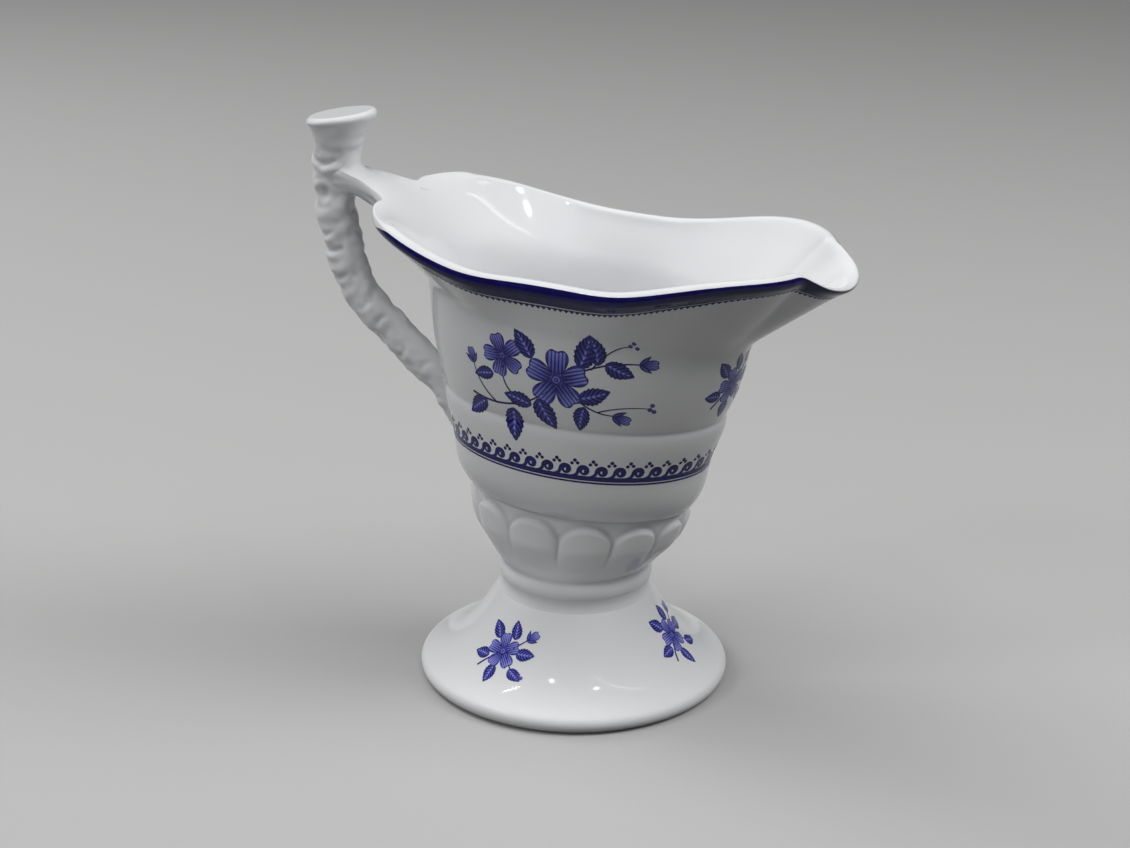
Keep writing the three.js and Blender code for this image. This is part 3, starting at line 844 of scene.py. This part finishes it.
def film_strip(along_steps, across_steps, place):
    """A flat grid. place gives x, y, ink and line count for a share along it and a side, -1 to 1."""
    deselect()
    bpy.ops.mesh.primitive_grid_add(
        x_subdivisions=along_steps, y_subdivisions=across_steps, size=1
    )
    strip = bpy.context.object
    spots = [place(v.co.x + 0.5, 2 * v.co.y) for v in strip.data.vertices]
    set_ink(strip.data, [s[2] for s in spots], [s[3] for s in spots])
    for corner, (x, y, _, _) in zip(strip.data.vertices, spots):
        corner.co = Vector((x, y, 0)) * MM
    return strip


def disc_share(along, side):
    """A square's point moved onto a disc, so that a grid can fill a round outline."""
    x, y = 2 * along - 1, side
    return x * math.sqrt(1 - y * y / 2), y * math.sqrt(1 - x * x / 2)


def join(name, films):
    deselect()
    for film in films:
        film.select_set(True)
    bpy.context.view_layer.objects.active = films[0]
    bpy.ops.object.join()
    films[0].name = name
    return films[0]


def thicken(film):
    """Makes a laid film a closed shell, after its tips are merged and its faces turned alike."""
    pick(film)
    bpy.ops.object.mode_set(mode="EDIT")
    bpy.ops.mesh.select_all(action="SELECT")
    bpy.ops.mesh.remove_doubles(threshold=merge_distance)
    bpy.ops.mesh.normals_make_consistent(inside=False)
    bpy.ops.object.mode_set(mode="OBJECT")
    shell = film.modifiers.new("film", "SOLIDIFY")
    shell.thickness = film_thickness
    shell.offset = 0
    bpy.ops.object.modifier_apply(modifier=shell.name)
    bpy.ops.object.shade_smooth_by_angle(angle=math.radians(40))
    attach(film, "root")
    return film


print("film:", film_thickness / MM, "mm")

# %% [markdown]
# A solid band runs under the lip. It keeps its distance from the crest of the rim, which rises and falls,
# so the brim is first sounded with rays at many turns: each sounding is a list of points down the outside
# with their distance from the crest. The crest is nearly level, so its own place is hard to find. The
# distance is set right a little lower, where it is steep.

# %% Sound the brim
arm_clear = math.radians(163)
sounding_count, lip_radius, steep_row = 480, 1.9, 10
lip_turns = [math.radians(step) for step in range(0, 90, 6)]
lip_drops = [lip_radius * (1 - math.cos(turn)) for turn in lip_turns]
wall_drops = [lip_radius + 0.2 * step for step in range(45)]
rim_lowest, rim_highest, near_wall = 70.0, 96.0, 15 * MM


def this_side(turn, height):
    """The bowl's outside, where the near wall is reached."""
    skin, _ = on_bowl(turn, height)
    if skin and skin.x * math.cos(turn) + skin.y * math.sin(turn) > near_wall:
        return skin
    return None


def sounding(turn):
    low, high = rim_lowest, rim_highest
    for _ in range(18):
        half = (low + high) / 2
        low, high = (half, high) if this_side(turn, half) else (low, half)
    points = [this_side(turn, low - drop) for drop in lip_drops + wall_drops]
    depths = np.cumsum([0, *((b - a).length / MM for a, b in zip(points, points[1:]))])
    depths += lip_radius * lip_turns[steep_row] - depths[steep_row]
    return list(zip(depths, points))


sounding_turns = [arm_clear * (2 * k / sounding_count - 1) for k in range(sounding_count + 1)]
soundings = [sounding(turn) for turn in sounding_turns]


def down_brim(k, depth):
    """The point at a depth below the crest, on one sounding."""
    points = soundings[k]
    n = next(i for i, p in enumerate(points) if p[0] >= depth)
    (above, high), (below, low) = points[n - 1], points[n]
    return high.lerp(low, (depth - above) / (below - above))


print("soundings:", len(soundings), "of", len(soundings[0]), "points")

# %% [markdown]
# The band is a film on that map of the brim, with a pale hair line and a fringe of small teeth below it. It
# narrows a little along the beak, and at the arm its ends run out under the lip.

# %% Rim band
band_top, band_low, fringe_top, fringe_line, tooth_depth, tooth_pitch = 1.5, 6.1, 6.4, 6.6, 0.75, 1.25
beak_from, beak_to, beak_narrowing = math.radians(20), math.radians(40), 0.25
end_taper = (-0.01, 0.06)
girth = [0.0]
for k in range(sounding_count):
    girth.append(girth[-1] + (down_brim(k + 1, band_low) - down_brim(k, band_low)).length / MM)
teeth = round(girth[-1] / tooth_pitch)


def brim_at(share, depth):
    """The place of the film, for a share of the girth and a depth below the crest."""
    k = np.interp(share * girth[-1], girth, range(sounding_count + 1))
    low = min(sounding_count - 1, int(k))
    turn = abs(arm_clear * (2 * k / sounding_count - 1))
    near_beak = max(0, min(1, (beak_to - turn) / (beak_to - beak_from)))
    depth = band_top + (depth - band_top) * (1 - beak_narrowing * near_beak)
    if depth < band_low:
        depth = band_low + (depth - band_low) * smooth_step(min(share, 1 - share), *end_taper)
    between = down_brim(low, depth).lerp(down_brim(low + 1, depth), k - low)
    skin, normal, _, _ = bowl_skin.find_nearest(between)
    return skin + normal * film_lift


def band_ink(share, side):
    return share, band_top + (band_low - band_top) * (1 - side) / 2, 1.0, 0.0


def fringe_ink(share, side):
    tooth = 1 - abs(2 * (share * teeth % 1) - 1)
    low = fringe_line + tooth_depth * tooth if side < -0.5 else fringe_line
    return share, low if side < 0.5 else fringe_top, 0.95, 0.0


band_films = [film_strip(2 * teeth, 18, band_ink), film_strip(2 * teeth, 2, fringe_ink)]
band = join("rim_band_print", band_films)
for corner in band.data.vertices:
    corner.co = brim_at(corner.co.x / MM, corner.co.y / MM)
thicken(band)
print("rim:", round(girth[-1]), "mm,", teeth, "teeth, faces:", len(band.data.polygons))

# %% [markdown]
# Round the body runs a border over two lines. It is a running wave, one of the oldest of border patterns:
# each crest is a ribbon that swells up from the line and curls into a spiral. One crest is drawn flat,
# copied along a strip, and the strip is wrapped round the bowl by its own girth.

# %% Wave border
border_height, border_middle, body_steps = 32.0, 3, 720
wave_count, wave_eye, wave_reach, wave_run, wave_from = 42, (0.6, 2.95), 1.2, 2.2, 1.5
swell_share, spiral_turn, thin_line, thick_line = 0.3, 3.4 * math.pi, (0, 0.4), (0.66, 1.75)
drops = [(-1.35, 5.3, 0.42), (-1.95, 4.55, 0.38), (-0.75, 4.7, 0.38)]


def body_turn(step):
    return 2 * math.pi * step / body_steps - math.pi


body = [on_bowl(body_turn(k), border_height + border_middle)[0] for k in range(body_steps + 1)]
waist = np.concatenate([[0], np.cumsum([(b - a).length for a, b in zip(body, body[1:])])])
wave_pitch = waist[-1] / wave_count / MM


def wave_ink(share, side):
    if share < swell_share:
        t = share / swell_share
        left = wave_eye[0] - wave_reach
        rise = wave_eye[1] - wave_from
        x, y = left - wave_run * (1 - t) ** 2, wave_from + rise * t**2
        across = Vector((-t * rise, wave_run * (1 - t))).normalized()
        half = 0.12 + 0.23 * t * (2.7 - 1.7 * t)
    else:
        t = (share - swell_share) / (1 - swell_share)
        angle = math.pi - spiral_turn * t
        reach = wave_reach * (1 - 0.78 * t**0.9)
        x, y = wave_eye[0] + reach * math.cos(angle), wave_eye[1] + reach * math.sin(angle)
        across = Vector((math.cos(angle), math.sin(angle)))
        half = 0.35 + 0.04 * math.sin(math.pi * min(1, 2 * t)) - 0.12 * t
    return x + side * half * across.x, y + side * half * across.y, 0.9, 0.0


def line_film(low, high):
    """A plain line, as long as the strip."""
    def line_ink(share, side):
        x = share * wave_pitch * wave_count - wave_pitch / 2
        return x, low + (high - low) * (1 + side) / 2, 0.92, 0.0

    return film_strip(12 * wave_count, 2, line_ink)


def drop_film(x, y, size):
    """A round drop of ink, on a small grid."""
    def drop_ink(share, side):
        across, up = disc_share(share, side)
        return x + size * across, y + size * up, 0.95, 0.0

    return film_strip(4, 4, drop_ink)


wave = join("wave", [film_strip(44, 2, wave_ink), *(drop_film(*drop) for drop in drops)])
films = [line_film(*line) for line in (thin_line, thick_line)]
for k in range(wave_count):
    crest = bpy.data.objects.new("crest", wave.data.copy())
    scene.collection.objects.link(crest)
    crest.data.transform(Matrix.Translation((k * wave_pitch * MM, 0, 0)))
    films.append(crest)
bpy.data.objects.remove(wave)
border = join("wave_border_print", films)
strip_length = wave_pitch * wave_count * MM
for corner in border.data.vertices:
    share = (corner.co.x + wave_pitch * MM / 2) / strip_length
    step = np.interp(share % 1 * waist[-1], waist, range(body_steps + 1))
    skin, normal = on_bowl(body_turn(step), border_height + corner.co.y / MM)
    corner.co = skin + normal * film_lift
thicken(border)
print("waist:", round(waist[-1] / MM, 1), "mm, border faces:", len(border.data.polygons))

# %% [markdown]
# The flowers are drawn flat from four shapes: a petal, a toothed leaf, a disc of stamens and a stem. The
# first three are grids bent to their outlines and kept as patterns to copy. Each also says how much ink a
# point has, with a dark edge, and counts the engraved lines that shade it.

# %% Shapes of the flower print
def is_edge(along, side):
    return along < 0.001 or along > 0.999 or abs(side) > 0.999


def petal_ink(along, side):
    x, y = disc_share(along, side)
    x = 0.56 + 0.44 * x
    y = 0.4 * y * (0.5 + 0.62 * x)
    x -= 0.1 * math.exp(-((y / 0.13) ** 2)) * x**5
    return x, y, 1.0 if is_edge(along, side) else 0.78 - 0.5 * x, 9 * y


def leaf_ink(along, side):
    tooth = along * 7 % 1
    half = 0.24 * math.sin(math.pi * along**0.8) ** 0.85 * (0.9 + 0.22 * tooth)
    ink = 1.0 if is_edge(along, side) else 0.72
    if abs(side) < 0.1:
        ink = 0.3 if 0.1 < along < 0.85 else 0.7
    return along, side * half + 0.1 * along**2, ink, 6.5 * along - 1.6 * abs(side)


def disc_ink(along, side):
    x, y = disc_share(along, side)
    return 0.5 * x, 0.5 * y, 0.95 if is_edge(along, side) else 0.55, 2.2 * math.hypot(x, y)


petal = film_strip(10, 10, petal_ink)
leaf = film_strip(28, 8, leaf_ink)
disc = film_strip(8, 8, disc_ink)
print("shapes:", [len(shape.data.polygons) for shape in (petal, leaf, disc)])

# %% [markdown]
# A blossom is one petal turned five times round a disc, and a bud is a petal between two small leaves. A
# spray is blossoms, buds, leaves and berries set along curved stems, and a sprig is a small one.

# %% Set out a spray
petal_count, leaf_growth, spray_leaf_width, sprig_leaf_width = 5, 1.12, 1.2, 1.35


def set_out(shape, x, y, size, turn, wide=1.0):
    """One copy of a shape, in millimetres on the flat sheet, with its own mesh."""
    film = bpy.data.objects.new("print", shape.data.copy())
    scene.collection.objects.link(film)
    place = Matrix.Translation((x * MM, y * MM, 0)) @ Matrix.Rotation(math.radians(turn), 4, "Z")
    film.data.transform(place @ Matrix.Diagonal((size, size * wide, size, 1)))
    return film


def stem(start, bend, end, thick):
    a, b, c = (Vector(p) for p in (start, bend, end))

    def stem_ink(along, side):
        line = a * (1 - along) ** 2 + b * (2 * along * (1 - along)) + c * along**2
        onward = ((b - a) * (1 - along) + (c - b) * along).normalized()
        half = thick * (1 - 0.45 * along) / 2
        return line.x - onward.y * half * side, line.y + onward.x * half * side, 0.95, 0.0

    return film_strip(max(8, int((c - a).length * 1.6)), 1, stem_ink)


def blossom(x, y, radius, turn):
    films = [set_out(petal, x, y, radius, turn + 360 / petal_count * k) for k in range(petal_count)]
    return [*films, set_out(disc, x, y, radius * 0.42, turn)]


def bud(x, y, size, turn):
    films = [set_out(petal, x, y, size, turn, 0.8)]
    return [*films, *(set_out(leaf, x, y, size * 0.75, turn + k, 0.7) for k in (38, -38))]


def spray_films():
    films = [
        stem((-20, -6.5), (-8, -9), (1, 0), 0.55), stem((1, 0), (9, 7), (19.5, 5.5), 0.5),
        stem((-6, -6), (-13, -2), (-10.5, 4), 0.45), stem((3, 1), (7, -6), (13.5, -6.5), 0.45),
        stem((-13, -7.2), (-18, -4), (-19, 1), 0.4), stem((9, 4.4), (13, 9.5), (17, 10), 0.35),
        stem((10, -5.6), (15, -4), (20.5, -5), 0.3),
    ]
    films += blossom(1.5, 1.5, 7.2, 15) + blossom(-11, 4.8, 5.2, 40)
    films += bud(19, 5.5, 4.4, -5) + bud(13, -6.5, 4.2, -25) + bud(-19, 0.8, 3.8, 105)
    for x, y, size, turn in (
        (-16, -7.3, 6.2, 215), (-9, -7.2, 7, 265), (-4.5, -5.6, 6, 160), (-3, -3.6, 7.2, 290),
        (6.5, 4.6, 7.4, 65), (10.5, 5.4, 6.6, 95), (12, 5.9, 6, -35), (-13.5, 0, 5, 190),
        (-4, 5.5, 6.4, 115), (7.2, -4.4, 5.6, 250), (6, -2.6, 6.4, 10),
    ):
        films.append(set_out(leaf, x, y, leaf_growth * size, turn, spray_leaf_width))
    for x, y in ((17.5, 10.2), (18.9, 9.6), (18.4, 11), (20.8, -5.3), (21.4, -4.3), (21.6, -5.9)):
        films.append(set_out(disc, x, y, 1.0, 0))
    return films


def sprig_films():
    films = [
        stem((-5.5, -4.5), (-3, -1), (0, 0), 0.45), stem((0, 0), (3, 3), (4.6, 5), 0.4),
        stem((1, -0.5), (3, -3), (5.5, -3.6), 0.35),
    ]
    films += blossom(-0.6, 0.4, 4.4, 30) + bud(4.2, 4.4, 3.4, 50)
    for x, y, size, turn in (
        (-2.8, 2.8, 4.8, 120), (1.2, 3.6, 4.4, 95), (2.8, 1, 4.6, 5), (3, -2.8, 4.2, -30),
        (-1, -3, 4.6, 260), (-3.8, -1.6, 4.4, 170),
    ):
        films.append(set_out(leaf, x, y, size, turn, sprig_leaf_width))
    for x, y in ((5.9, -3.2), (6.1, -4.2), (6.8, -3.6)):
        films.append(set_out(disc, x, y, 0.9, 0))
    return films


print("a blossom has", petal_count, "petals")

# %% [markdown]
# A transfer is cut out and laid on the ware. Here the flat sheet is held in front of its place, square to
# the surface, and a Shrinkwrap modifier projects it back onto the porcelain. A sheet that is wide for the
# curve it lands on is first drawn in by the sine of the bend, so that its ends keep their length. The
# prints on the foot are washed a little paler than those on the wall.

# %% Lay the flower prints
held_off, upright = 15 * MM, Vector((0, 0, 1))
spray_turn, spray_height, spray_bend = math.radians(88), 54.2, 48
spout_turn, spout_height, spout_bend = math.radians(-7), 53.2, 20
foot_turns, foot_out, foot_bend, foot_wash = (-110, 3, 126), 23.5 * MM, 30, 0.85


def lay(name, films, target, skin, normal, upward, bend=None, mirrored=False, wash=1.0):
    sheet = join(name, films)
    for number in sheet.data.attributes["ink"].data:
        number.value *= wash
    across = upward.cross(normal).normalized()
    rise = normal.cross(across)
    frame_turn = Matrix((across, rise, normal)).transposed().to_4x4()
    for corner in sheet.data.vertices:
        if mirrored:
            corner.co.x = -corner.co.x
        if bend:
            corner.co.x = bend * MM * math.sin(corner.co.x / (bend * MM))
    sheet.matrix_world = Matrix.Translation(skin + normal * held_off) @ frame_turn
    pick(sheet)
    drape = sheet.modifiers.new("drape", "SHRINKWRAP")
    drape.target = target
    drape.wrap_method = "PROJECT"
    drape.use_project_z = True
    drape.use_negative_direction = True
    drape.use_positive_direction = False
    drape.offset = film_lift
    bpy.ops.object.modifier_apply(modifier=drape.name)
    bpy.ops.object.transform_apply(location=True, rotation=True, scale=True)
    return thicken(sheet)


near = on_bowl(-spray_turn, spray_height)
far = on_bowl(spray_turn, spray_height)
front = on_bowl(spout_turn, spout_height)
prints = [
    band,
    border,
    lay("near_spray_print", spray_films(), bowl, *near, upright, bend=spray_bend),
    lay("far_spray_print", spray_films(), bowl, *far, upright, bend=spray_bend, mirrored=True),
    lay("spout_sprig_print", sprig_films(), bowl, *front, upright, bend=spout_bend),
]
for k, turn in enumerate(foot_turns, 1):
    way = Vector((math.cos(math.radians(turn)), math.sin(math.radians(turn)), 0))
    above = Vector((axis_x, 0, 2 * foot_high.z)) + way * foot_out
    place = foot_skin.ray_cast(above, -upright)[:2]
    name = f"foot_sprig_print_{k}"
    prints.append(lay(name, sprig_films(), foot, *place, upright, bend=foot_bend, wash=foot_wash))
for shape in (petal, leaf, disc):
    bpy.data.objects.remove(shape)
print("prints:", [(p.name, len(p.data.polygons)) for p in prints])

# %% [markdown]
# Cobalt fired under a clear glaze looks deep where the ink is thick and pale violet where it is thin. The
# ink number picks the blue from a ramp, engraved lines darken it, and a little noise breaks it up as a hand
# wiped plate does. The gloss over it is held a little lower than on the porcelain, because a dark blue
# would look grey under the mirrored floor.

# %% Cobalt print
blues = [
    (0.0, (0.62, 0.66, 0.82, 1)), (0.35, (0.28, 0.31, 0.74, 1)), (0.65, (0.06, 0.062, 0.4, 1)),
    (0.85, (0.014, 0.012, 0.17, 1)), (1.0, (0.005, 0.004, 0.07, 1)),
]
cobalt = new_finish("cobalt_print")
ink = add_node(cobalt, "Attribute", {}, attribute_name="ink")["Fac"]
engraved = add_node(cobalt, "Attribute", {}, attribute_name="engraved")["Fac"]
line = add_node(cobalt, "Math", {0: engraved, 1: 0.5}, operation="PINGPONG")["Value"]
stroke_range = {"Value": line, "From Min": 0.2, "From Max": 0.34, "To Max": 0.3}
stroke = add_node(cobalt, "MapRange", stroke_range)["Result"]
where = add_node(cobalt, "TexCoord", {})["Object"]
wiped = add_node(cobalt, "TexNoise", {"Vector": where, "Scale": 700, "Detail": 4})["Fac"]
grain = add_node(cobalt, "MapRange", {"Value": wiped, "To Min": -0.12, "To Max": 0.1})["Result"]
tone = add_node(cobalt, "Math", {0: ink, 1: stroke})["Value"]
total = add_node(cobalt, "Math", {0: tone, 1: grain})["Value"]
ramp = cobalt.node_tree.nodes.new("ShaderNodeValToRGB")
stops = ramp.color_ramp.elements
stops.remove(stops[1])
stops[0].position, stops[0].color = blues[0]
for at, blue in blues[1:]:
    stops.new(at).color = blue
feed(cobalt, ramp.inputs["Fac"], total)
set_surface(cobalt, {
    "Base Color": ramp.outputs["Color"],
    "Roughness": 0.06,
    "IOR": 1.5,
    "Specular IOR Level": 0.25,
})
for film in prints:
    film.data.materials.clear()
    film.data.materials.append(cobalt)
print("print on", len(prints), "films")
